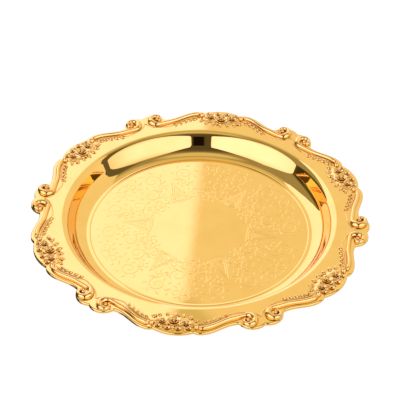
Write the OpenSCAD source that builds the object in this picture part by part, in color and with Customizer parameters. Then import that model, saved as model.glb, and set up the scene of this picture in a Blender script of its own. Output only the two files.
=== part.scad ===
// Round serving tray in brass: a spun and pressed pan with a scalloped flange, and a
// border of separately made scrolls, flower sprays, leaf trails and lip wires that are
// soldered flat onto the flange. Six repeats go round the tray.
// Origin: centre of the underside of the floor. +Z is up. Two of the flower sprays lie on
// the X axis, and two of the scroll pairs lie on the Y axis.

/* [Pan] */
// Widest size of the tray, across two opposite flower sprays
tray_d = 300; // [296:1:310]
// Thickness of the sheet
sheet_t = 1; // [0.8:0.1:1.4]
// Drop from the flange down to the floor
well_depth = 18; // [15:0.5:20]
// Radius where the flange bends down into the well
well_top_r = 120; // [118:0.5:122]
// Radius of the flat floor
floor_r = 98.5; // [96:0.5:100]
// Slope of the straight part of the wall, in degrees from level
wall_slope = 64; // [58:1:70]
// Radius of the outward bend between the wall and the flange
bend_r = 6.7; // [5:0.1:8]
// How far the flange's cut edge is turned down
edge_turn_h = 2.4; // [1.6:0.2:3.2]

/* [Scalloped edge] */
// How far the edge draws in between a spray and a scroll pair
sweep_drop = 8.8; // [7:0.2:10]
// Radius of the rounded lobe outside each volute
lobe_r = 13; // [12.4:0.2:13.4]
// Radius of the shallow arc outside each flower spray
spray_arc_r = 34; // [30:1:40]

/* [Scroll mounts] */
// Width of a scroll's rod
rod_w = 3.8; // [3.2:0.2:4.2]
// Height of a scroll's rod above the flange
rod_h = 2.7; // [1.8:0.1:3]
// Distance from the tray's edge to the middle of the rod
rod_inset = 5.2; // [4.8:0.2:5.6]
// Width of the bulb at the spray end of a rod
knob_w = 5; // [4.4:0.2:5.4]

/* [Leaf trails and lip wires] */
// Number of leaves on one trail
trail_leaves = 5; // [3:1:5]
// Height of the leaves above the flange
leaf_h = 1.3; // [0.8:0.1:2.2]
// Width of a lip wire
lip_w = 1; // [0.8:0.1:1.2]
// Height of a lip wire above the flange
lip_h = 0.6; // [0.4:0.1:0.8]

/* [Flower sprays] */
// Radius of the open rose in the middle of a spray
rose_r = 6.2; // [5:0.2:6.4]
// Height of the rose above the flange
rose_h = 4.4; // [3:0.2:5]

/* [Hidden] */
repeats = 6;
sector = 360 / repeats;
flange_z = sheet_t + well_depth;
edge_r = tray_d / 2;

// The edge, as angles from the middle of a scroll pair and radii from the tray's axis
sweep_start = 9.3;
sweep_end = 21.3;
sweep_top_r = edge_r - 1.8;
knob_lobe_r = 9;
lobe_x = 6.9;
lobe_y = edge_r - 1.6 - lobe_r;
edge_points = 90;

// Wall section: an inward cove, a straight slope and an outward bend, tangent where they
// meet. A slope too steep for the well's depth and width is limited to one that fits
wall_run = well_top_r - floor_r;
slope_margin = 0.5;
wall_angle = min(wall_slope, 2 * atan(well_depth / wall_run) - slope_margin);
wall_radii = (wall_run * sin(wall_angle) - well_depth * cos(wall_angle)) / (1 - cos(wall_angle));
cove_r = wall_radii - bend_r;
arc_steps = 14;
flange_lap_r = well_top_r + 2;

// Volute: a spiral about its eye, in the flat frame of a scroll pair (x along, y outward)
eye = [12.3, edge_r - 10.9];
spiral_r = 6.8;
spiral_fall = 5;
spiral_turn = 350;
spiral_step = 14;
rod_step = 1;
widest_at = 80;
volute_w = 6.4;
volute_h = 3.9;
volute_tip_w = 1.9;
volute_tip_h = 2.2;
eye_bead_r = 1.7;
knob_at = 22.4;
collar_gap = 1.1;
section_steps = 6;

// Lip wire and leaf trail, measured inward from the tray's edge
lip_cusp = [0.6, edge_r - 12.4];
lip_bend = [3, edge_r - 20.5];
lip_inset = 8.3;
lip_inset_by_volute = 11.4;
lip_settle = 4;
lip_step = 1.2;
lip_end = 20.5;
trail_inset = 9.7;
trail_start = 12.6;
trail_pitch = 2.1;
trail_margin = 0.4;
leaf_slant = 40;
first_leaf = 5.6;
leaf_growth = 0.2;
leaf_spread = 0.44;
stem_w = 1;
stem_h = 0.8;
trail_first = trail_start - trail_margin;
trail_last = trail_start + trail_pitch * (trail_leaves - 1) + 2 * trail_margin;
trail_steps = 6;

// Flower spray, in the flat frame of a spray: x along, then the distance in from the edge.
// Side roses, florets and berries end with a radius, and leaves with a direction and a length
rose_at = [0.5, 13.6];
side_roses = [[-9.6, 11.6, 4.5], [10, 11.8, 4.4]];
side_rose_share = 0.8;
florets = [[-3.9, 5.6, 2.7], [4.9, 5.4, 2.7], [-12.6, 6.9, 2.3], [13.2, 7.1, 2.3]];
floret_h = 1.6;
spray_leaves = [[-15.4, 15.8, -146, 5.4], [-11, 17.2, -118, 6], [-5.4, 18, -104, 6.2],
    [0.5, 18.6, -90, 6.4], [6.2, 18.2, -76, 6.2], [11.6, 17.2, -60, 6], [15.8, 15.8, -36, 5.4],
    [-8.4, 8.4, 112, 4.8], [9.2, 8.2, 66, 4.8], [0.6, 8.6, 92, 5.4]];
spray_leaf_w = 3.2;
berries = [[-13.4, 19.6, 1.3], [7.4, 21.2, 1.2], [-5, 9.4, 1.1], [5.6, 9.2, 1.1], [14.4, 12.8, 1.3],
    [-14.4, 12.6, 1.3], [-2.6, 20.8, 1.1], [16.2, 18.2, 1.2]];
seat_h = 0.6;
seat_half_angle = 7;
seat_margin = 4;
seat_depth = 20.5;

gold = [0.93, 0.72, 0.3];
pale_gold = [0.96, 0.8, 0.42];

// ---- shared functions ----

// Distance from the tray's axis to a circle's far side, looking out at angle a
function circle_reach(centre, r, a) =
    let (d = norm(centre), off = a - atan(centre[0] / centre[1]))
    d * cos(off) + sqrt(max(0, r * r - pow(d * sin(off), 2)));

// Half-cosine sweep of the edge between a lobe and a knob
function sweep_r(a) =
    sweep_top_r - sweep_drop * (1 + cos(180 * (max(a, sweep_start) - sweep_start) / (sweep_end - sweep_start))) / 2;

// Radius of the tray's edge at angle a from the middle of a scroll pair
function edge_at(a) =
    a < sweep_start ? max(sweep_r(a), circle_reach([lobe_x, lobe_y], lobe_r, a))
    : a < sweep_end ? sweep_r(a)
    : max(circle_reach([(sweep_top_r - knob_lobe_r) * sin(sweep_end), (sweep_top_r - knob_lobe_r) * cos(sweep_end)],
            knob_lobe_r, a),
        circle_reach([(edge_r - spray_arc_r) * sin(sector / 2), (edge_r - spray_arc_r) * cos(sector / 2)],
            spray_arc_r, a));

// A point at radius r and angle a from the y axis, turning towards +x
function polar(r, a) = [r * sin(a), r * cos(a)];

function bezier(a, b, c, t) = a * pow(1 - t, 2) + 2 * b * t * (1 - t) + c * t * t;

// Direction of travel along a path at point i
function heading(path, i) =
    let (d = path[min(i + 1, len(path) - 1)] - path[max(i - 1, 0)]) d / norm(d);

// ---- shared modules ----

// Puts a shape drawn in the frame of a scroll pair or a spray in place round the tray
module around(k, turn = 0) {
    rotate([0, 0, sector * k + turn]) children();
}

// A domed strip with a flat underside: path holds [x, y] points, sizes holds [width, height]
module domed_sweep(path, sizes, base_z) {
    ring = section_steps + 1;
    rings = [for (i = [0:len(path) - 1])
        let (h = heading(path, i), side = [-h[1], h[0]])
        for (j = [0:section_steps])
            let (a = 180 * j / section_steps, across = side * sizes[i][0] / 2 * cos(a))
            [path[i][0] + across[0], path[i][1] + across[1], base_z + sizes[i][1] * sin(a)]];
    last = len(path) - 1;
    polyhedron(rings, concat(
        [[for (j = [0:section_steps]) j]],
        [for (i = [0:last - 1]) for (j = [0:section_steps])
            let (n = (j + 1) % ring)
            each [[i * ring + j, (i + 1) * ring + j, (i + 1) * ring + n],
                [i * ring + j, (i + 1) * ring + n, i * ring + n]]],
        [[for (j = [section_steps:-1:0]) last * ring + j]]));
}

// A pointed leaf lying flat, from its stalk at the origin along +x
module leaf(length, width, height) {
    side_r = (length * length / 4 + width * width / 4) / width;
    intersection() {
        translate([length / 2, width / 2 - side_r, 0]) cylinder(h = height, r = side_r, $fn = 64);
        translate([length / 2, side_r - width / 2, 0]) cylinder(h = height, r = side_r, $fn = 64);
    }
}

// A bead standing at the origin, sunk so that it sits on a flat underside
module bead(r) {
    intersection() {
        translate([0, 0, r * 0.4]) sphere(r = r, $fn = 24);
        cylinder(h = 2 * r, r = 2 * r, $fn = 24);
    }
}

// ---- pan ----

// Right half of the section through floor, wall and flange, offset inwards by t
function wall_section(t) = concat(
    [for (i = [0:arc_steps])
        let (a = wall_angle * i / arc_steps)
        [floor_r + (cove_r + t) * sin(a), sheet_t - t + (cove_r + t) * (1 - cos(a))]],
    [for (i = [arc_steps:-1:0])
        let (a = wall_angle * i / arc_steps)
        [well_top_r - (bend_r - t) * sin(a), flange_z - t - (bend_r - t) * (1 - cos(a))]]);

module edge_outline(inset) {
    polygon([for (k = [0:repeats - 1]) for (i = [0:edge_points - 1])
        let (a = sector * (i / edge_points - 0.5))
        polar(edge_at(abs(a)) - inset, a + sector * k)]);
}

module pan() {
    under = wall_section(sheet_t);
    color(gold) {
        rotate_extrude($fn = 120)
            polygon(concat([[0, sheet_t]], wall_section(0), [[flange_lap_r, flange_z]],
                [[flange_lap_r, flange_z - sheet_t]],
                [for (i = [len(under) - 1:-1:0]) under[i]], [[0, 0]]));
        translate([0, 0, flange_z - sheet_t]) linear_extrude(sheet_t) difference() {
            edge_outline(0);
            circle(r = well_top_r + 1, $fn = 120);
        }
        translate([0, 0, flange_z - edge_turn_h]) linear_extrude(edge_turn_h) difference() {
            edge_outline(0);
            edge_outline(sheet_t);
        }
    }
}

// ---- scrolls ----

function rod_path() = concat(
    [for (a = [sweep_end:-rod_step:sweep_start]) polar(sweep_r(a) - rod_inset, a)],
    [for (t = [0.4, 0.75])
        bezier(polar(sweep_r(sweep_start) - rod_inset, sweep_start), eye + [5, -spiral_r],
            eye + [0, -spiral_r], t)]);

function spiral_path() = [for (a = [0:spiral_step:spiral_turn])
    let (r = spiral_r - spiral_fall * pow(a / 360, 1.4))
    eye + r * [-sin(a), -cos(a)]];

// The rod swells to the volute's widest point and then thins to a tip beside the eye
function spiral_sizes() = [for (a = [0:spiral_step:spiral_turn])
    a < widest_at ? [rod_w, rod_h] + ([volute_w, volute_h] - [rod_w, rod_h]) * a / widest_at
    : [volute_w, volute_h]
        + ([volute_tip_w, volute_tip_h] - [volute_w, volute_h]) * (a - widest_at) / (spiral_turn - widest_at)];

module scroll() {
    rod = rod_path();
    color(pale_gold) {
        domed_sweep(concat(rod, spiral_path()),
            concat([for (p = rod) [rod_w, rod_h]], spiral_sizes()), flange_z);
        translate([eye[0], eye[1], flange_z]) bead(eye_bead_r);
        knob();
    }
}

// Bulb at the spray end, joined to the rod by a narrow collar
module knob() {
    at = polar(edge_at(sweep_end) - rod_inset - 0.3, knob_at);
    rod_end = polar(sweep_r(sweep_end) - rod_inset, sweep_end);
    translate([at[0], at[1], flange_z]) bead(knob_w / 2);
    along = atan2(at[1] - rod_end[1], at[0] - rod_end[0]);
    translate([rod_end[0], rod_end[1], flange_z]) rotate([0, 0, along])
        translate([-collar_gap, -rod_w * 0.3, 0]) cube([norm(at - rod_end) + collar_gap, rod_w * 0.6, rod_h * 0.6]);
}

// ---- lip wires ----

// Right half of the lip, from the cusp between two volutes out to a spray
function lip_inset_at(a) =
    let (t = min(1, (a - sweep_start) / lip_settle))
    lip_inset_by_volute + (lip_inset - lip_inset_by_volute) * t * t * (3 - 2 * t);

function lip_half() = concat(
    [for (t = [0:0.125:1])
        bezier(lip_cusp, lip_bend, polar(sweep_r(sweep_start) - lip_inset_by_volute, sweep_start), t)],
    [for (a = [sweep_start + lip_step:lip_step:lip_end]) polar(sweep_r(a) - lip_inset_at(a), a)]);

module lip_wire() {
    half = lip_half();
    left = [for (i = [len(half) - 1:-1:0]) [-half[i][0], half[i][1]]];
    path = concat(left, half);
    color(pale_gold) domed_sweep(path, [for (p = path) [lip_w, lip_h]], flange_z);
}

// ---- leaf trails ----

// A point on the trail's stem, at angle a and a given distance outward of its middle
function trail_point(a, out) = polar(edge_at(a) - trail_inset + out, a);

function trail_angles() = [for (i = [0:trail_steps])
    trail_first + (trail_last - trail_first) * i / trail_steps];

// Leaves grow from the spray towards the volute, slanting in, each smaller than the last
module leaf_trail() {
    color(pale_gold) translate([0, 0, flange_z]) {
        for (i = [0:trail_leaves - 1]) {
            a = trail_start + trail_pitch * i;
            at = trail_point(a, 0);
            ahead = trail_point(a - 0.5, 0) - at;
            length = first_leaf + leaf_growth * i;
            translate([at[0], at[1], 0]) rotate([0, 0, atan2(ahead[1], ahead[0]) + leaf_slant])
                leaf(length, length * leaf_spread, leaf_h);
        }
        linear_extrude(stem_h) polygon(concat(
            [for (a = trail_angles()) trail_point(a, stem_w / 2)],
            [for (a = trail_angles()) trail_point(trail_first + trail_last - a, -stem_w / 2)]));
    }
}

// ---- flower sprays ----

// Moves a shape to its place in a spray
module in_spray(place) {
    translate([place[0], edge_r - place[1], flange_z]) children();
}

// A rose as three stepped rings, each narrower and higher than the last
module rose(r, h) {
    cylinder(h = h * 0.45, r1 = r, r2 = r * 0.9, $fn = 32);
    cylinder(h = h * 0.72, r1 = r * 0.8, r2 = r * 0.62, $fn = 32);
    cylinder(h = h, r1 = r * 0.5, r2 = r * 0.3, $fn = 32);
}

module floret(r) {
    for (i = [0:4])
        rotate([0, 0, 72 * i]) translate([r * 0.55, 0, 0]) cylinder(h = floret_h, r = r * 0.5, $fn = 24);
    bead(r * 0.42);
}

// Thin seat that carries the flowers and is soldered to the flange
module spray_seat() {
    translate([0, 0, flange_z]) linear_extrude(seat_h) intersection() {
        difference() {
            circle(r = edge_r - seat_margin, $fn = 180);
            circle(r = edge_r - seat_depth, $fn = 180);
        }
        polygon([[0, 0], polar(edge_r * 1.02, -seat_half_angle), polar(edge_r * 1.02, seat_half_angle)]);
    }
}

module flower_spray() {
    color(pale_gold) {
        spray_seat();
        in_spray(rose_at) rose(rose_r, rose_h);
        for (s = side_roses) in_spray(s) rose(s[2], rose_h * side_rose_share);
        for (f = florets) in_spray(f) floret(f[2]);
        for (l = spray_leaves) in_spray(l) rotate([0, 0, l[2]]) leaf(l[3], spray_leaf_w, leaf_h);
        for (b = berries) in_spray(b) bead(b[2]);
    }
}

// ---- assembly ----

pan();
for (k = [1:repeats]) {
    around(k) mirror([1, 0, 0]) scroll();
    around(k) scroll();
    around(k, sector / 2) flower_spray();
    around(k) mirror([1, 0, 0]) leaf_trail();
    around(k) leaf_trail();
    around(k) lip_wire();
}
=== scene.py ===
import math

import bmesh
import bpy
from mathutils import Matrix, Vector


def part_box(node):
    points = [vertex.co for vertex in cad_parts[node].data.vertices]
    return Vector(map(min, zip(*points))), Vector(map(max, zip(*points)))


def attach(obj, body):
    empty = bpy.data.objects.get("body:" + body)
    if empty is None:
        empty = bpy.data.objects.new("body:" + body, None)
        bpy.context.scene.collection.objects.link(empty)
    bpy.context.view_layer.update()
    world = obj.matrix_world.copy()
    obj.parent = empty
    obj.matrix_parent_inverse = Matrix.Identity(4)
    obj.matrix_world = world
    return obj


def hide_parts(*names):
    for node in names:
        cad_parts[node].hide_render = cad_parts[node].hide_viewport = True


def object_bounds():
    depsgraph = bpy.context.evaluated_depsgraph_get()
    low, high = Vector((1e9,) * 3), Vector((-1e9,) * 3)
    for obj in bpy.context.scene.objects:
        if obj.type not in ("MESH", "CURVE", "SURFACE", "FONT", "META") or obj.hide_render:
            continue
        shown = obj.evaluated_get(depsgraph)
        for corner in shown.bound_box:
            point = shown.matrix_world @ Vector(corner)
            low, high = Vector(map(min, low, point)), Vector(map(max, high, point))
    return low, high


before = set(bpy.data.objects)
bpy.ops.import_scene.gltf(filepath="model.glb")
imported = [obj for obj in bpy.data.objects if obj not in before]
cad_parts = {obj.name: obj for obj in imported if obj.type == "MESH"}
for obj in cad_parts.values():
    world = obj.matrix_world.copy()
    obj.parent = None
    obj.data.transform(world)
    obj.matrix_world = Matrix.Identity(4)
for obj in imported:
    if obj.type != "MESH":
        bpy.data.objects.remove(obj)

cad_low, cad_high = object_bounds()
scene = bpy.context.scene
scene.view_settings.view_transform = "Standard"
mm = 0.001

# ---- Camera ----
# A long lens on a stand, a little above the height of someone's eyes at a table. It looks
# down on the tray at 40 degrees, with a spray to the right of the nearest scroll pair.
view_turn = Matrix.Rotation(math.radians(-21.965), 4, "Z")
view_rise = math.radians(40.07)
view_roll = math.radians(0.64)
view_distance = 1537.5 * mm
flange_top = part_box("pan")[1].z
aim = view_turn @ Vector((0.4 * mm, 19.05 * mm, flange_top))
camera = bpy.data.objects.new("camera", bpy.data.cameras.new("camera"))
camera.data.lens = 156.98
camera.data.sensor_width = 36
camera.data.clip_end = 50
camera.matrix_world = (Matrix.Translation(aim) @ view_turn
                       @ Matrix.Rotation(math.pi / 2 - view_rise, 4, "X")
                       @ Matrix.Translation((0, 0, view_distance))
                       @ Matrix.Rotation(view_roll, 4, "Z"))
scene.collection.objects.link(camera)
scene.camera = camera

# ---- Pan ----
# One disc of brass sheet, spun over a former into a shallow round well with a flat flange.
# The flange is cut to a scalloped outline and its edge is rolled down, so that no raw edge
# is left, and the whole is polished to a mirror.
tray_r = cad_high.x
sheet = 1 * mm
floor_top = sheet
well_drop = flange_top - floor_top
well_top_r = 120 * mm
floor_r = 98.5 * mm
wall_slope = math.radians(64)
bend_r = 6.7 * mm
repeat = 60
edge_roll_r = 1.3 * mm
edge_turn_h = 2.4 * mm
spin_steps = 720

sweep_start, sweep_end = 9.3, 21.3
sweep_top_r = tray_r - 1.8 * mm
sweep_drop = 8.8 * mm
knob_lobe_r = 9 * mm
lobe_r = 13 * mm
lobe_at = Vector((6.9 * mm, tray_r - 1.6 * mm - lobe_r))
spray_arc_r = 34 * mm


def polar(radius, angle):
    """A point in the plan of a sector: angle in degrees from the y axis, turning to +x."""
    return Vector((radius * math.sin(math.radians(angle)), radius * math.cos(math.radians(angle))))


def circle_reach(centre, radius, angle):
    """Distance from the tray's axis to a circle's far side, looking out at an angle."""
    off = math.radians(angle) - math.atan2(centre.x, centre.y)
    across = centre.length * math.sin(off)
    return centre.length * math.cos(off) + math.sqrt(max(0, radius ** 2 - across ** 2))


def sweep_r(angle):
    share = (max(angle, sweep_start) - sweep_start) / (sweep_end - sweep_start)
    return sweep_top_r - sweep_drop * (1 + math.cos(math.pi * share)) / 2


def edge_at(angle):
    """Radius of the tray's edge, at an angle in degrees from the middle of a scroll pair."""
    if angle < sweep_start:
        return max(sweep_r(angle), circle_reach(lobe_at, lobe_r, angle))
    if angle < sweep_end:
        return sweep_r(angle)
    knob_lobe = polar(sweep_top_r - knob_lobe_r, sweep_end)
    spray_arc = polar(tray_r - spray_arc_r, repeat / 2)
    return max(circle_reach(knob_lobe, knob_lobe_r, angle), circle_reach(spray_arc, spray_arc_r, angle))


def wall_section():
    """Floor, cove, straight wall, bend and flange as points (radius, height), going outwards."""
    run = well_top_r - floor_r
    both_radii = (run * math.sin(wall_slope) - well_drop * math.cos(wall_slope)) / (1 - math.cos(wall_slope))
    cove_r = both_radii - bend_r
    points = [(r * mm, floor_top) for r in (0, 32, 64, 94.6, 95.6)]
    bead_line = ((96.1, 0.06), (96.6, 0.12), (97.1, 0.06), (97.6, 0))
    points += [(r * mm, floor_top + rise * mm) for r, rise in bead_line]
    for i in range(15):
        slope = wall_slope * i / 14
        points.append((floor_r + cove_r * math.sin(slope), floor_top + cove_r * (1 - math.cos(slope))))
    for i in range(10, -1, -1):
        slope = wall_slope * i / 10
        points.append((well_top_r - bend_r * math.sin(slope), flange_top - bend_r * (1 - math.cos(slope))))
    points += [(r * mm, flange_top) for r in (121, 124.5)]
    points += [(tray_r - inset * mm, flange_top) for inset in (5, 2.4, 1.6)]
    for i in range(7):
        turn = math.pi / 2 * i / 6
        points.append((tray_r - edge_roll_r * (1 - math.sin(turn)),
                       flange_top - edge_roll_r * (1 - math.cos(turn))))
    points.append((tray_r, flange_top - edge_turn_h))
    return points


def shaded(mesh, material):
    for face in mesh.polygons:
        face.use_smooth = True
    mesh.materials.append(material)


def finished(name, mesh, material, slot, *stands_for):
    """Puts a mesh in the scene as a piece that stands for its CAD node."""
    shaded(mesh, material)
    piece = bpy.data.objects.new(name, mesh)
    scene.collection.objects.link(piece)
    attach(piece, "root")
    if stands_for:
        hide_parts(*stands_for)
    return piece


crease = math.radians(55)


def to_mesh(name, bm):
    """Makes a mesh whose edges stay crisp where its faces meet at more than the crease angle."""
    for edge in bm.edges:
        edge.smooth = edge.calc_face_angle(0) < crease
    mesh = bpy.data.meshes.new(name)
    bm.to_mesh(mesh)
    bm.free()
    return mesh


def polished_brass(name, colour, worn_colour, crevice_shade_colour, crevice_shade_reach, roughness, wave_height):
    """Mirror-bright brass: a slow change of tone, painted shade that darkens crevices and the lines
    where parts meet, faint buffing marks and a very slight wave. Returns what a finish of its own may be
    added with."""
    material = bpy.data.materials.new(name)
    material.use_nodes = True
    nodes = material.node_tree.nodes
    links = material.node_tree.links
    shader = nodes["Principled BSDF"]
    shader.inputs["Metallic"].default_value = 1
    place = nodes.new("ShaderNodeTexCoord").outputs["Object"]

    def noise(scale, detail):
        node = nodes.new("ShaderNodeTexNoise")
        node.inputs["Scale"].default_value = scale
        node.inputs["Detail"].default_value = detail
        links.new(place, node.inputs["Vector"])
        return node.outputs["Fac"]

    def ranged(value, low, high, to_low, to_high):
        node = nodes.new("ShaderNodeMapRange")
        for key, number in zip(("From Min", "From Max", "To Min", "To Max"), (low, high, to_low, to_high)):
            node.inputs[key].default_value = number
        links.new(value, node.inputs["Value"])
        return node.outputs["Result"]

    def mixed(share, first, second):
        node = nodes.new("ShaderNodeMix")
        node.data_type = "RGBA"
        links.new(share, node.inputs["Factor"])
        for key, value in (("A", first), ("B", second)):
            if isinstance(value, tuple):
                node.inputs[key].default_value = (*value, 1)
            else:
                links.new(value, node.inputs[key])
        return node.outputs["Result"]

    def bumped(height, distance, before=None):
        node = nodes.new("ShaderNodeBump")
        node.inputs["Strength"].default_value = 1
        node.inputs["Distance"].default_value = distance
        links.new(height, node.inputs["Height"])
        if before:
            links.new(before, node.inputs["Normal"])
        links.new(node.outputs["Normal"], shader.inputs["Normal"])
        return node.outputs["Normal"]

    # Painted shade: where ambient occlusion finds nearby surfaces, as in crevices and along the lines where
    # mounts and wires meet the flange, the base colour is mixed towards a dark brown.
    open_to_light = nodes.new("ShaderNodeAmbientOcclusion")
    open_to_light.samples = 8
    open_to_light.inputs["Distance"].default_value = crevice_shade_reach
    tone = mixed(ranged(noise(45, 5), 0.4, 0.7, 0, 1), colour, worn_colour)
    tone = mixed(ranged(open_to_light.outputs["AO"], 0.4, 0.85, 0, 1), crevice_shade_colour, tone)
    links.new(tone, shader.inputs["Base Color"])
    low, high = roughness
    links.new(ranged(noise(110, 6), 0.35, 0.7, low, high), shader.inputs["Roughness"])
    wave = bumped(noise(70, 2), wave_height)
    return material, wave, bumped, ranged, noise, place


# Painted shade: the dark brown that crevices and the lines where parts meet are darkened to, and how far that
# shade reaches.
painted_crevice_shade, painted_shade_reach = (0.6, 0.36, 0.08), 1.4 * mm
sheet_brass, wave, bumped, ranged, noise, place = polished_brass(
    "sheet_brass", (1.0, 0.6, 0.135), (0.97, 0.57, 0.12), painted_crevice_shade, painted_shade_reach,
    (0.015, 0.03), 0.006 * mm)

bm = bmesh.new()
section = [bm.verts.new((radius, 0, height)) for radius, height in wall_section()]
profile = [bm.edges.new(pair) for pair in zip(section, section[1:])]
bmesh.ops.spin(bm, geom=section + profile, cent=(0, 0, 0), axis=(0, 0, 1), angle=2 * math.pi,
               steps=spin_steps, use_merge=True, use_duplicate=False)
bmesh.ops.remove_doubles(bm, verts=bm.verts, dist=0.001 * mm)
flat_from, flat_to = 124.5 * mm, tray_r - 5 * mm
for vert in bm.verts:
    radius = math.hypot(vert.co.x, vert.co.y)
    share = min(1, (radius - flat_from) / (flat_to - flat_from))
    if share > 0:
        angle = math.degrees(math.atan2(vert.co.y, vert.co.x)) % repeat - repeat / 2
        grown = 1 + share * (edge_at(abs(angle)) - tray_r) / radius
        vert.co.x *= grown
        vert.co.y *= grown
bmesh.ops.recalc_face_normals(bm, faces=bm.faces)
if sum(face.normal.z for face in bm.faces) < 0:
    bmesh.ops.reverse_faces(bm, faces=bm.faces)
bmesh.ops.solidify(bm, geom=list(bm.faces), thickness=sheet)

chase_w, chase_h = 1.3 * mm, 0.05 * mm
chase_sink = 0.006 * mm
low_ridge = ((0.5, 0), (0.25, 0.5), (0, 1), (-0.25, 0.5), (-0.5, 0))
cartouche_foot, cartouche_tip, cartouche_half_w = 43 * mm, 69 * mm, 7.6 * mm
cartouche_border = 1.7 * mm
hatch_pitch = 2.6 * mm
curls = ((79, 11.5, 8.6, 200, 520), (62.5, 21.6, 7.6, -20, -500), (84.5, 24.6, 5.4, 20, 460),
         (50, 13.4, 4.4, 160, 440), (46.5, 25, 4, -30, -420), (68, 9.6, 3.4, 10, -400))
curl_leaf = 3.4 * mm


def bezier(a, b, c, share):
    return a * (1 - share) ** 2 + b * 2 * share * (1 - share) + c * share ** 2


def swept(bm, section, stations, base):
    """Sweeps a section along stations (point, width, height) that lie flat at height base."""
    points = [point for point, width, height in stations]
    places = []
    for i, (point, width, height) in enumerate(stations):
        ahead = (points[min(i + 1, len(points) - 1)] - points[max(i - 1, 0)]).normalized()
        places.append(Matrix(((-ahead.y * width, ahead.x, 0, point.x), (ahead.x * width, ahead.y, 0, point.y),
                              (0, 0, height, base), (0, 0, 0, 1))))
    ring = [bm.verts.new(places[0] @ Vector((across, 0, up))) for across, up in section]
    edges = [bm.edges.new((ring[i], ring[i - 1])) for i in range(len(ring))]
    bm.faces.new(ring)
    for before, after in zip(places, places[1:]):
        grown = bmesh.ops.extrude_edge_only(bm, edges=edges)["geom"]
        verts = [part for part in grown if isinstance(part, bmesh.types.BMVert)]
        edges = [part for part in grown if isinstance(part, bmesh.types.BMEdge) and part.is_boundary]
        bmesh.ops.transform(bm, matrix=after @ before.inverted(), verts=verts)
    bmesh.ops.contextual_create(bm, geom=edges)


def curl_line(centre, radius, start, turn):
    """A line that winds in about its centre and thins towards its end."""
    steps = round(abs(turn) / 20)
    return [(centre + polar(radius * (1 - 0.8 * i / steps), start + turn * i / steps),
             chase_w * (1 - 0.5 * i / steps), chase_h) for i in range(steps + 1)]


def leaf_line(centre, radius, angle, way):
    """A short curved leaf that springs from the outside of a curl."""
    foot = centre + polar(radius, angle)
    outward, along = polar(curl_leaf, angle), polar(curl_leaf * way, angle + 90)
    return [(foot + outward * math.sin(1.5 * share) + along * share ** 2, chase_w * width, chase_h)
            for share, width in ((0.1, 0.5), (0.35, 1.1), (0.6, 1.2), (0.8, 0.8), (1, 0.2))]


def cartouche_edge(inset, height):
    """Half width of the cartouche at a height above its foot, inside a border."""
    return cartouche_half_w * (cartouche_tip - height) / (cartouche_tip - cartouche_foot) - inset


chased_lines = []
for inset in (0, cartouche_border):
    tip = cartouche_tip - inset * (cartouche_tip - cartouche_foot) / cartouche_half_w
    foot = cartouche_foot + inset
    corner = Vector((cartouche_edge(inset, foot), foot))
    chased_lines.append([(Vector((0, tip)), chase_w, chase_h), (corner, chase_w, chase_h)])
    chased_lines.append([(corner, chase_w, chase_h), (Vector((0, foot - 1.2 * mm)), chase_w, chase_h)])
lean = cartouche_half_w / (cartouche_tip - cartouche_foot)
for number in range(1, 9):
    foot = cartouche_foot + hatch_pitch * number
    for way in (1, -1):
        reach = cartouche_edge(2 * cartouche_border, foot) / (1 + lean * way)
        if reach > 0.5 * mm and foot + way * reach > cartouche_foot + cartouche_border:
            end = Vector((reach, foot + way * reach))
            chased_lines.append([(Vector((0, foot)), chase_w / 2, chase_h), (end, chase_w / 2, chase_h)])
for radius, angle, curl_r, start, turn in curls:
    centre = polar(radius * mm, angle)
    way = math.copysign(1, turn)
    chased_lines.append(curl_line(centre, curl_r * mm, start, turn))
    for number in range(6):
        chased_lines.append(leaf_line(centre, curl_r * mm, start + way * (40 + 50 * number), way))

chased = bmesh.new()
for line in chased_lines:
    swept(chased, low_ridge, line, floor_top - chase_sink)
bmesh.ops.recalc_face_normals(chased, faces=chased.faces)
chased_mesh = to_mesh("chased", chased)
for number in range(6):
    for side in (1, -1):
        copy = chased_mesh.copy()
        turned = Matrix.Rotation(math.radians(repeat * number), 4, "Z")
        copy.transform(turned @ Matrix.Diagonal((side, 1, 1, 1)))
        if side < 0:
            copy.flip_normals()
        bm.from_mesh(copy)
        bpy.data.meshes.remove(copy)
bpy.data.meshes.remove(chased_mesh)
finished("pan_spun", to_mesh("pan_spun", bm), sheet_brass, "brass_sheet", "pan")

stippled_to = 93 * mm
tree = sheet_brass.node_tree
from_axis = tree.nodes.new("ShaderNodeVectorMath")
from_axis.operation = "MULTIPLY"
from_axis.inputs[1].default_value = (1, 1, 0)
tree.links.new(place, from_axis.inputs[0])
radius = tree.nodes.new("ShaderNodeVectorMath")
radius.operation = "LENGTH"
tree.links.new(from_axis.outputs["Vector"], radius.inputs[0])
punched = tree.nodes.new("ShaderNodeMath")
punched.operation = "MULTIPLY"
tree.links.new(noise(1500, 1), punched.inputs[0])
tree.links.new(ranged(radius.outputs["Value"], stippled_to, 95 * mm, 1, 0), punched.inputs[1])
bumped(punched.outputs["Value"], 0.003 * mm, wave)

# ---- Border scrolls ----
# Cast brass mounts, twelve in six mirrored pairs. Each is a half-round rod with a bulb at the
# spray end, which widens into a volute round a bead at the other. Soldered to the flange.
rod_w, rod_h = 3.8 * mm, 2.7 * mm
rod_inset = 5.2 * mm
volute_w, volute_h = 6.4 * mm, 3.9 * mm
volute_tip_w, volute_tip_h = 1.9 * mm, 2.2 * mm
eye = Vector((12.3 * mm, tray_r - 10.9 * mm))
eye_bead_r = 1.7 * mm
spiral_r, spiral_fall, spiral_turn = 6.8 * mm, 5 * mm, 350
widest_at = 80
bulb_l, bulb_w, bulb_h = 5.2 * mm, 4.9 * mm, 3.3 * mm
collar_l, collar_w, collar_h = 1.1 * mm, 2.6 * mm, 1.9 * mm


def smooth(share):
    share = min(1, max(0, share))
    return share * share * (3 - 2 * share)


def spiral_point(turn):
    radius = spiral_r - spiral_fall * (turn / 360) ** 1.4
    return eye - polar(radius, turn)


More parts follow.
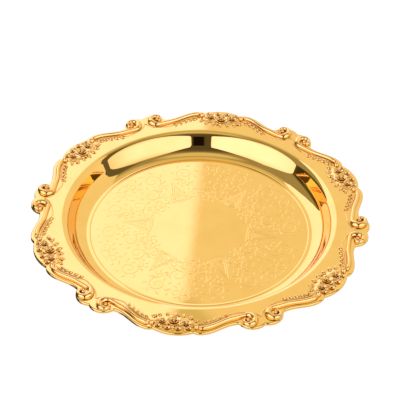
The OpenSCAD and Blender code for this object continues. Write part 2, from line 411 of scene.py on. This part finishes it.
def spiral_size(turn):
    if turn < widest_at:
        share = smooth((turn + 15) / (widest_at + 15))
        return rod_w + (volute_w - rod_w) * share, rod_h + (volute_h - rod_h) * share
    share = (turn - widest_at) / (spiral_turn - widest_at)
    return (volute_w + (volute_tip_w - volute_w) * share ** 0.8,
            volute_h + (volute_tip_h - volute_h) * share)


def dome(steps):
    """Half-round section one wide and one high, with a flat underside, as (across, up)."""
    return [(math.cos(math.pi * i / steps) / 2, math.sin(math.pi * i / steps)) for i in range(steps + 1)]


def scroll_stations():
    rod = [polar(sweep_r(angle) - rod_inset, angle) for angle in range(21, 9, -1)]
    bulb_end = polar(edge_at(23.4) - rod_inset - 0.6 * mm, 23.6)
    stations = []
    along = rod[0] - bulb_end
    for i in range(9):
        share = max(0.02, i / 8)
        swell = math.sin(math.pi * (0.1 + 0.8 * share)) if i else 0.15
        point = bulb_end + along.normalized() * bulb_l * share
        stations.append((point, bulb_w * swell, bulb_h * swell))
    start = bulb_end + along.normalized() * (bulb_l + 0.2 * mm)
    stations.append((start, collar_w, collar_h))
    stations.append((start + along.normalized() * collar_l * 0.6, collar_w, collar_h))
    stations.append((start + along.normalized() * collar_l, rod_w * 0.9, rod_h * 0.9))
    first = start + along.normalized() * (collar_l + 0.5 * mm)
    rest = [point for point in rod if point.x < first.x - 0.5 * mm]
    stations += [(point, rod_w, rod_h) for point in [first] + rest]
    last = rod[-1]
    for share in (0.3, 0.55, 0.8):
        point = bezier(last, eye + Vector((5 * mm, -spiral_r)), eye + Vector((0, -spiral_r)), share)
        stations.append((point, rod_w, rod_h))
    for turn in range(0, spiral_turn + 1, 10):
        stations.append((spiral_point(turn), *spiral_size(turn)))
    return stations


def bead(bm, at, radius, squash=1.0, sink=0.35):
    made = bmesh.ops.create_uvsphere(bm, u_segments=14, v_segments=8, radius=radius)["verts"]
    place = Matrix.Translation((at.x, at.y, flange_top + radius * squash * (1 - sink)))
    bmesh.ops.transform(bm, matrix=place @ Matrix.Diagonal((1, 1, squash, 1)), verts=made)
    return made


def round_the_tray(name, mesh, material, node, turn=0, mirrored=False):
    """Six turned copies of a mesh drawn about the +Y axis, one for each CAD node."""
    for number in range(1, 7):
        place = Matrix.Rotation(math.radians(repeat * number + turn), 4, "Z")
        if mirrored:
            place = place @ Matrix.Diagonal((-1, 1, 1, 1))
        copy = mesh.copy()
        copy.transform(place)
        if mirrored:
            copy.flip_normals()
        finished(f"{name}_{number}", copy, material, "brass_border", f"{node}_{number}")
    bpy.data.meshes.remove(mesh)


# The castings carry the same painted shade in their crevices and where they meet the flange.
cast_brass, *_ = polished_brass(
    "cast_brass", (1.0, 0.62, 0.16), (0.97, 0.56, 0.12), painted_crevice_shade, painted_shade_reach,
    (0.02, 0.05), 0.015 * mm)

bm = bmesh.new()
swept(bm, dome(14), scroll_stations(), flange_top)
bead(bm, eye, eye_bead_r, 1.1)
bmesh.ops.recalc_face_normals(bm, faces=bm.faces)
scroll_mesh = to_mesh("scroll", bm)
round_the_tray("scroll_right_casting", scroll_mesh.copy(), cast_brass, "scroll_right")
round_the_tray("scroll_left_casting", scroll_mesh, cast_brass, "scroll_left", mirrored=True)

# ---- Lip wires ----
# Fine half-round brass wire, bent to one curve from spray to spray with a cusp under each
# scroll pair, and soldered to the flange just inside the rods.
lip_w, lip_h = 1 * mm, 0.6 * mm
lip_cusp = Vector((0.6 * mm, tray_r - 12.4 * mm))
lip_bend = Vector((3 * mm, tray_r - 20.5 * mm))
lip_inset, lip_inset_by_volute = 8.3 * mm, 11.4 * mm
lip_settle = 4
lip_end = 20.5


def lip_point(angle):
    share = smooth((angle - sweep_start) / lip_settle)
    return polar(sweep_r(angle) - lip_inset_by_volute - (lip_inset - lip_inset_by_volute) * share, angle)


lip_start = lip_point(sweep_start)
half = [bezier(lip_cusp, lip_bend, lip_start, i / 10) for i in range(11)]
half += [lip_point(sweep_start + (lip_end - sweep_start) * i / 12) for i in range(1, 13)]
line = [Vector((-point.x, point.y)) for point in reversed(half)] + half
bm = bmesh.new()
swept(bm, dome(6), [(point, lip_w, lip_h) for point in line], flange_top)
bmesh.ops.recalc_face_normals(bm, faces=bm.faces)
round_the_tray("lip_wire_drawn", to_mesh("lip_wire", bm), cast_brass, "lip_wire")

# ---- Leaf trails ----
# Small cast leaves on a thin stem, one trail along the inside of every rod. The leaves point
# away from the spray, lean in, and get smaller towards the volute.
trail_leaves = 5
trail_inset = 9.7 * mm
trail_start, trail_pitch = 12.6, 2.1
trail_margin = 0.4
leaf_slant = math.radians(40)
first_leaf, leaf_growth = 5.6 * mm, 0.2 * mm
leaf_spread = 0.44
trail_leaf_h = 1.3 * mm
stem_w, stem_h = 1 * mm, 0.8 * mm


def leaf(bm, at, direction, length, width, height, tilt=0.0):
    """A pointed leaf with a hollow along its midrib, from its stalk at a point on the flange."""
    made = bmesh.ops.create_uvsphere(bm, u_segments=16, v_segments=8, radius=1)["verts"]
    for vert in made:
        x, y, z = vert.co
        pointed = max(0, 1 - abs(x) ** 2.2)
        midrib = 0.35 * math.exp(-(y / 0.16) ** 2) * pointed
        vert.co = (x, y * (0.35 + 0.65 * pointed), max(-0.2, z - midrib * (z > 0)))
    place = (Matrix.Translation((at.x, at.y, flange_top)) @ Matrix.Rotation(direction, 4, "Z")
             @ Matrix.Rotation(-tilt, 4, "Y")
             @ Matrix.Diagonal((length / 2, width / 2, height, 1)) @ Matrix.Translation((1, 0, 0.1)))
    bmesh.ops.transform(bm, matrix=place, verts=made)


def trail_point(angle):
    return polar(edge_at(angle) - trail_inset, angle)


bm = bmesh.new()
stem_length = trail_pitch * (trail_leaves - 1) + 3 * trail_margin
stem = [trail_point(trail_start - trail_margin + stem_length * i / 12) for i in range(13)]
swept(bm, dome(6), [(point, stem_w, stem_h) for point in stem], flange_top)
for i in range(trail_leaves):
    angle = trail_start + trail_pitch * i
    ahead = trail_point(angle - 0.5) - trail_point(angle)
    length = first_leaf + leaf_growth * i
    leaf(bm, trail_point(angle), math.atan2(ahead.y, ahead.x) + leaf_slant, length,
         length * leaf_spread, trail_leaf_h)
bmesh.ops.recalc_face_normals(bm, faces=bm.faces)
trail_mesh = to_mesh("leaf_trail", bm)
round_the_tray("leaf_trail_right_casting", trail_mesh.copy(), cast_brass, "leaf_trail_right")
round_the_tray("leaf_trail_left_casting", trail_mesh, cast_brass, "leaf_trail_left", mirrored=True)

# ---- Flower sprays ----
# Six cast mounts: an open rose between two smaller ones, florets towards the edge, leaves
# towards the well and berries between them, all on one thin seat soldered to the flange.
roses = ((0.5, 13.6, 6.2, 4.3), (-9.6, 11.6, 4.5, 3.5), (10, 11.8, 4.4, 3.5))
florets = ((-3.9, 5.6, 2.7), (4.9, 5.4, 2.7), (-12.6, 6.9, 2.3), (13.2, 7.1, 2.3))
spray_leaves = ((-15.4, 15.8, -146, 5.4), (-11, 17.2, -118, 6), (-5.4, 18, -104, 6.2), (0.5, 18.6, -90, 6.4),
                (6.2, 18.2, -76, 6.2), (11.6, 17.2, -60, 6), (15.8, 15.8, -36, 5.4), (-8.4, 8.4, 112, 4.8),
                (9.2, 8.2, 66, 4.8), (0.6, 8.6, 92, 5.4))
berries = ((-13.4, 19.6, 1.3), (7.4, 21.2, 1.2), (-5, 9.4, 1.1), (5.6, 9.2, 1.1), (14.4, 12.8, 1.3),
           (-14.4, 12.6, 1.3), (-2.6, 20.8, 1.1), (16.2, 18.2, 1.2))
berry_h = 1.8 * mm
seat_h = 0.6 * mm
leaf_w, leaf_h = 3.2 * mm, 1.3 * mm


def petal(bm, at, turn, reach, length, width, thick, tilt, lift):
    """One cupped petal, a closed lens that leans outwards, set a reach away from the middle."""
    made = bmesh.ops.create_uvsphere(bm, u_segments=12, v_segments=6, radius=1)["verts"]
    for vert in made:
        x, y, z = vert.co
        vert.co = (x, y * (1 + 0.25 * x), z + 0.9 * (x * x + y * y) - 0.45)
    place = (Matrix.Translation((at.x, at.y, flange_top + lift)) @ Matrix.Rotation(math.radians(turn), 4, "Z")
             @ Matrix.Translation((reach, 0, 0)) @ Matrix.Rotation(-math.radians(tilt), 4, "Y")
             @ Matrix.Diagonal((length / 2, width / 2, thick / 2, 1)))
    bmesh.ops.transform(bm, matrix=place, verts=made)
    return made


def rose(bm, at, radius, height, turn):
    """Three rings of petals round a tight bud, the inner ones standing up more."""
    rings = ((6, 0.64, 0.72, 0.74, 16, 0.2), (5, 0.4, 0.56, 0.62, 40, 0.42), (3, 0.17, 0.4, 0.42, 66, 0.6))
    made = bead(bm, at, 0.2 * radius, 1.3, -1.6)
    for count, reach, length, width, tilt, lift in rings:
        for i in range(count):
            made += petal(bm, at, turn + 360 * i / count + 23 * count, reach * radius, length * radius,
                          width * radius, 0.2 * radius, tilt, lift * height)
    top = max(vert.co.z for vert in made) - flange_top
    on_flange = Matrix.Translation((0, 0, flange_top))
    squeeze = on_flange @ Matrix.Diagonal((1, 1, height / top, 1)) @ on_flange.inverted()
    bmesh.ops.transform(bm, matrix=squeeze, verts=made)


def floret(bm, at, radius):
    for i in range(5):
        petal(bm, at, 72 * i + 18, 0.58 * radius, 0.85 * radius, 0.8 * radius, 0.5 * radius, 14, 0.8 * mm)
    bead(bm, at, 0.33 * radius, 1, -1.2)


bm = bmesh.new()
seat_path = [polar(tray_r - 12.2 * mm, angle) for angle in (-7, -6, -4, -2, 0, 2, 4, 6, 7)]
swept(bm, dome(10), [(point, width * mm, seat_h) for point, width in
                     zip(seat_path, (4, 10, 14, 16, 16, 16, 14, 10, 4))], flange_top)
for x, inset, radius, height in roses:
    rose(bm, Vector((x * mm, tray_r - inset * mm)), radius * mm, height * mm, 31 * x)
for x, inset, radius in florets:
    floret(bm, Vector((x * mm, tray_r - inset * mm)), radius * mm)
for x, inset, direction, length in spray_leaves:
    leaf(bm, Vector((x * mm, tray_r - inset * mm)), math.radians(direction), length * mm, leaf_w, leaf_h)
for x, inset, radius in berries:
    bead(bm, Vector((x * mm, tray_r - inset * mm)), radius * mm, berry_h / (2 * radius * mm), 0)
bmesh.ops.recalc_face_normals(bm, faces=bm.faces)
spray_mesh = to_mesh("flower_spray", bm)
round_the_tray("flower_spray_casting", spray_mesh, cast_brass, "flower_spray", turn=repeat / 2)

# ---- Table ----
# A plain matt white table top under the tray. It isn't part of the object.
bm = bmesh.new()
bmesh.ops.create_grid(bm, x_segments=1, y_segments=1, size=6)
table_mesh = to_mesh("table", bm)
table = bpy.data.objects.new("table", table_mesh)
table_white = bpy.data.materials.new("table_white")
table_white.use_nodes = True
table_shader = table_white.node_tree.nodes["Principled BSDF"]
table_shader.inputs["Base Color"].default_value = (0.2, 0.2, 0.2, 1)
table_shader.inputs["Roughness"].default_value = 0.9
table_shader.inputs["Emission Color"].default_value = (1, 1, 1, 1)
table_shader.inputs["Emission Strength"].default_value = 0.9
table_mesh.materials.append(table_white)
scene.collection.objects.link(table)
table.visible_glossy = False

# ---- Studio light ----
# A white sweep and two big softboxes, all at a distance. Each panel is a patch of sky with
# straight edges, given by its corners as (degrees to the right of straight ahead, height).
world = bpy.data.worlds.new("studio")
scene.world = world
world.use_nodes = True
sky_nodes = world.node_tree.nodes
sky_links = world.node_tree.links
sky_nodes.clear()
heading = sky_nodes.new("ShaderNodeTexCoord").outputs["Generated"]


def sky_direction(azimuth, height):
    azimuth, height = math.radians(azimuth), math.radians(height)
    level = math.cos(height)
    ahead = Vector((math.sin(azimuth) * level, math.cos(azimuth) * level, math.sin(height)))
    return view_turn.to_3x3() @ ahead


def sky_math(operation, a, b):
    node = sky_nodes.new("ShaderNodeMath")
    node.operation = operation
    for socket, value in zip(node.inputs, (a, b)):
        if isinstance(value, (int, float)):
            socket.default_value = value
        else:
            sky_links.new(value, socket)
    return node.outputs[0]


def facing(direction):
    node = sky_nodes.new("ShaderNodeVectorMath")
    node.operation = "DOT_PRODUCT"
    node.inputs[1].default_value = direction
    sky_links.new(heading, node.inputs[0])
    return node.outputs["Value"]


def eased(value, low, high, to_low, to_high):
    node = sky_nodes.new("ShaderNodeMapRange")
    node.interpolation_type = "SMOOTHSTEP"
    for key, number in zip(("From Min", "From Max", "To Min", "To Max"), (low, high, to_low, to_high)):
        node.inputs[key].default_value = number
    sky_links.new(value, node.inputs["Value"])
    return node.outputs["Result"]


def sky_mix(share, below, above):
    node = sky_nodes.new("ShaderNodeMix")
    node.data_type = "RGBA"
    for key, value in (("Factor", share), ("A", below), ("B", above)):
        if isinstance(value, tuple):
            node.inputs[key].default_value = (*value, 1)
        elif isinstance(value, (int, float)):
            node.inputs[key].default_value = value
        else:
            sky_links.new(value, node.inputs[key])
    return node.outputs["Result"]


def panel(sky, corners, brightest_at, brightest, dimmest, softness):
    """Lays a panel over the sky, with its corners listed anticlockwise as seen from the tray."""
    mask = 1.0
    directions = [sky_direction(*corner) for corner in corners]
    for a, b in zip(directions, directions[1:] + directions[:1]):
        inward = b.cross(a).normalized()
        mask = sky_math("MULTIPLY", mask, eased(facing(inward), -softness, softness, 0, 1))
    glow = eased(facing(sky_direction(*brightest_at)), 0.45, 0.97, 0, 1)
    return sky_mix(mask, sky, sky_mix(glow, dimmest, brightest))


def studio_white(level):
    """A softbox is a little bluer than the room that it lights, and more so the brighter it is."""
    return (level, level, level * max(0.95, 1.2 * level))


room, dark_room = studio_white(0.36), (0.055, 0.045, 0.035)
sky = sky_mix(eased(facing(sky_direction(8, 45)), 0.84, 1, 0, 1), room, studio_white(0.74))
sky = sky_mix(eased(facing(sky_direction(180, 30)), 0.64, 0.94, 0, 1), sky, studio_white(0.1))
sky = sky_mix(eased(facing(Vector((0, 0, 1))), 0.94, 0.99, 0, 1), sky, studio_white(0.75))
sky = sky_mix(eased(facing(Vector((0, 0, -1))), 0, 0.04, 0, 1), sky, studio_white(0.8))
sky = sky_mix(eased(facing(sky_direction(-75, -2)), 0.87, 0.95, 0, 1), sky, dark_room)
sky = sky_mix(eased(facing(sky_direction(86, 28)), 0.78, 0.86, 0, 1), sky, studio_white(0.14))
edge_blur = 0.004
panels = (
    # the dark floor of the room at the left
    (((-18, -70), (-22, 1), (-108, 1), (-112, -70)), (-65, -10), (0.05, 0.055, 0.02),
     (0.06, 0.055, 0.03), 0.05),
    # the dark gap behind the viewer, and a dull green screen at the left
    (((-176.5, 1.5), (-176.5, 22), (174, 22), (174, 1.5)), (180, 10), (0.012, 0.006, 0.003),
     (0.012, 0.006, 0.003), 0.02),
    (((-68, -30), (-66, 12), (-74, 17), (-82, 14), (-85, -30)), (-75, 10), (0.085, 0.15, 0.02),
     (0.07, 0.11, 0.02), 0.03),
    # front softboxes, left and right
    (((-96, 2), (-98, 58), (-140, 54.5), (-170, 31), (-171.5, 2)), (-140, 12), studio_white(1.65),
     studio_white(1.15), edge_blur),
    (((174, 2), (171, 31), (142, 57.5), (118, 62), (99.5, 56), (100, 2)), (152, 12),
     studio_white(1.55), studio_white(0.9), edge_blur),
    # rear softboxes, left and right, which meet straight ahead
    (((4, 0), (-0.5, 43.2), (-20, 54), (-33, 54.5), (-49, 43), (-54.5, 30), (-54, 0)), (-25, 30),
     studio_white(1.45), studio_white(1.34), edge_blur),
    (((96, 0), (88, 31), (63, 57), (28, 55.6), (-0.5, 43.2), (4, 0)), (30, 30),
     studio_white(0.94), studio_white(1.0), edge_blur),
)
for corners, glow_at, brightest, dimmest, softness in panels:
    sky = panel(sky, corners, glow_at, brightest, dimmest, softness)

lit = sky_nodes.new("ShaderNodeBackground")
sky_links.new(sky, lit.inputs["Color"])
plain = sky_nodes.new("ShaderNodeBackground")
plain.inputs["Color"].default_value = (1, 1, 1, 1)
seen = sky_nodes.new("ShaderNodeLightPath").outputs["Is Camera Ray"]
chosen = sky_nodes.new("ShaderNodeMixShader")
sky_links.new(seen, chosen.inputs["Fac"])
sky_links.new(lit.outputs[0], chosen.inputs[1])
sky_links.new(plain.outputs[0], chosen.inputs[2])
sky_links.new(chosen.outputs[0], sky_nodes.new("ShaderNodeOutputWorld").inputs["Surface"])
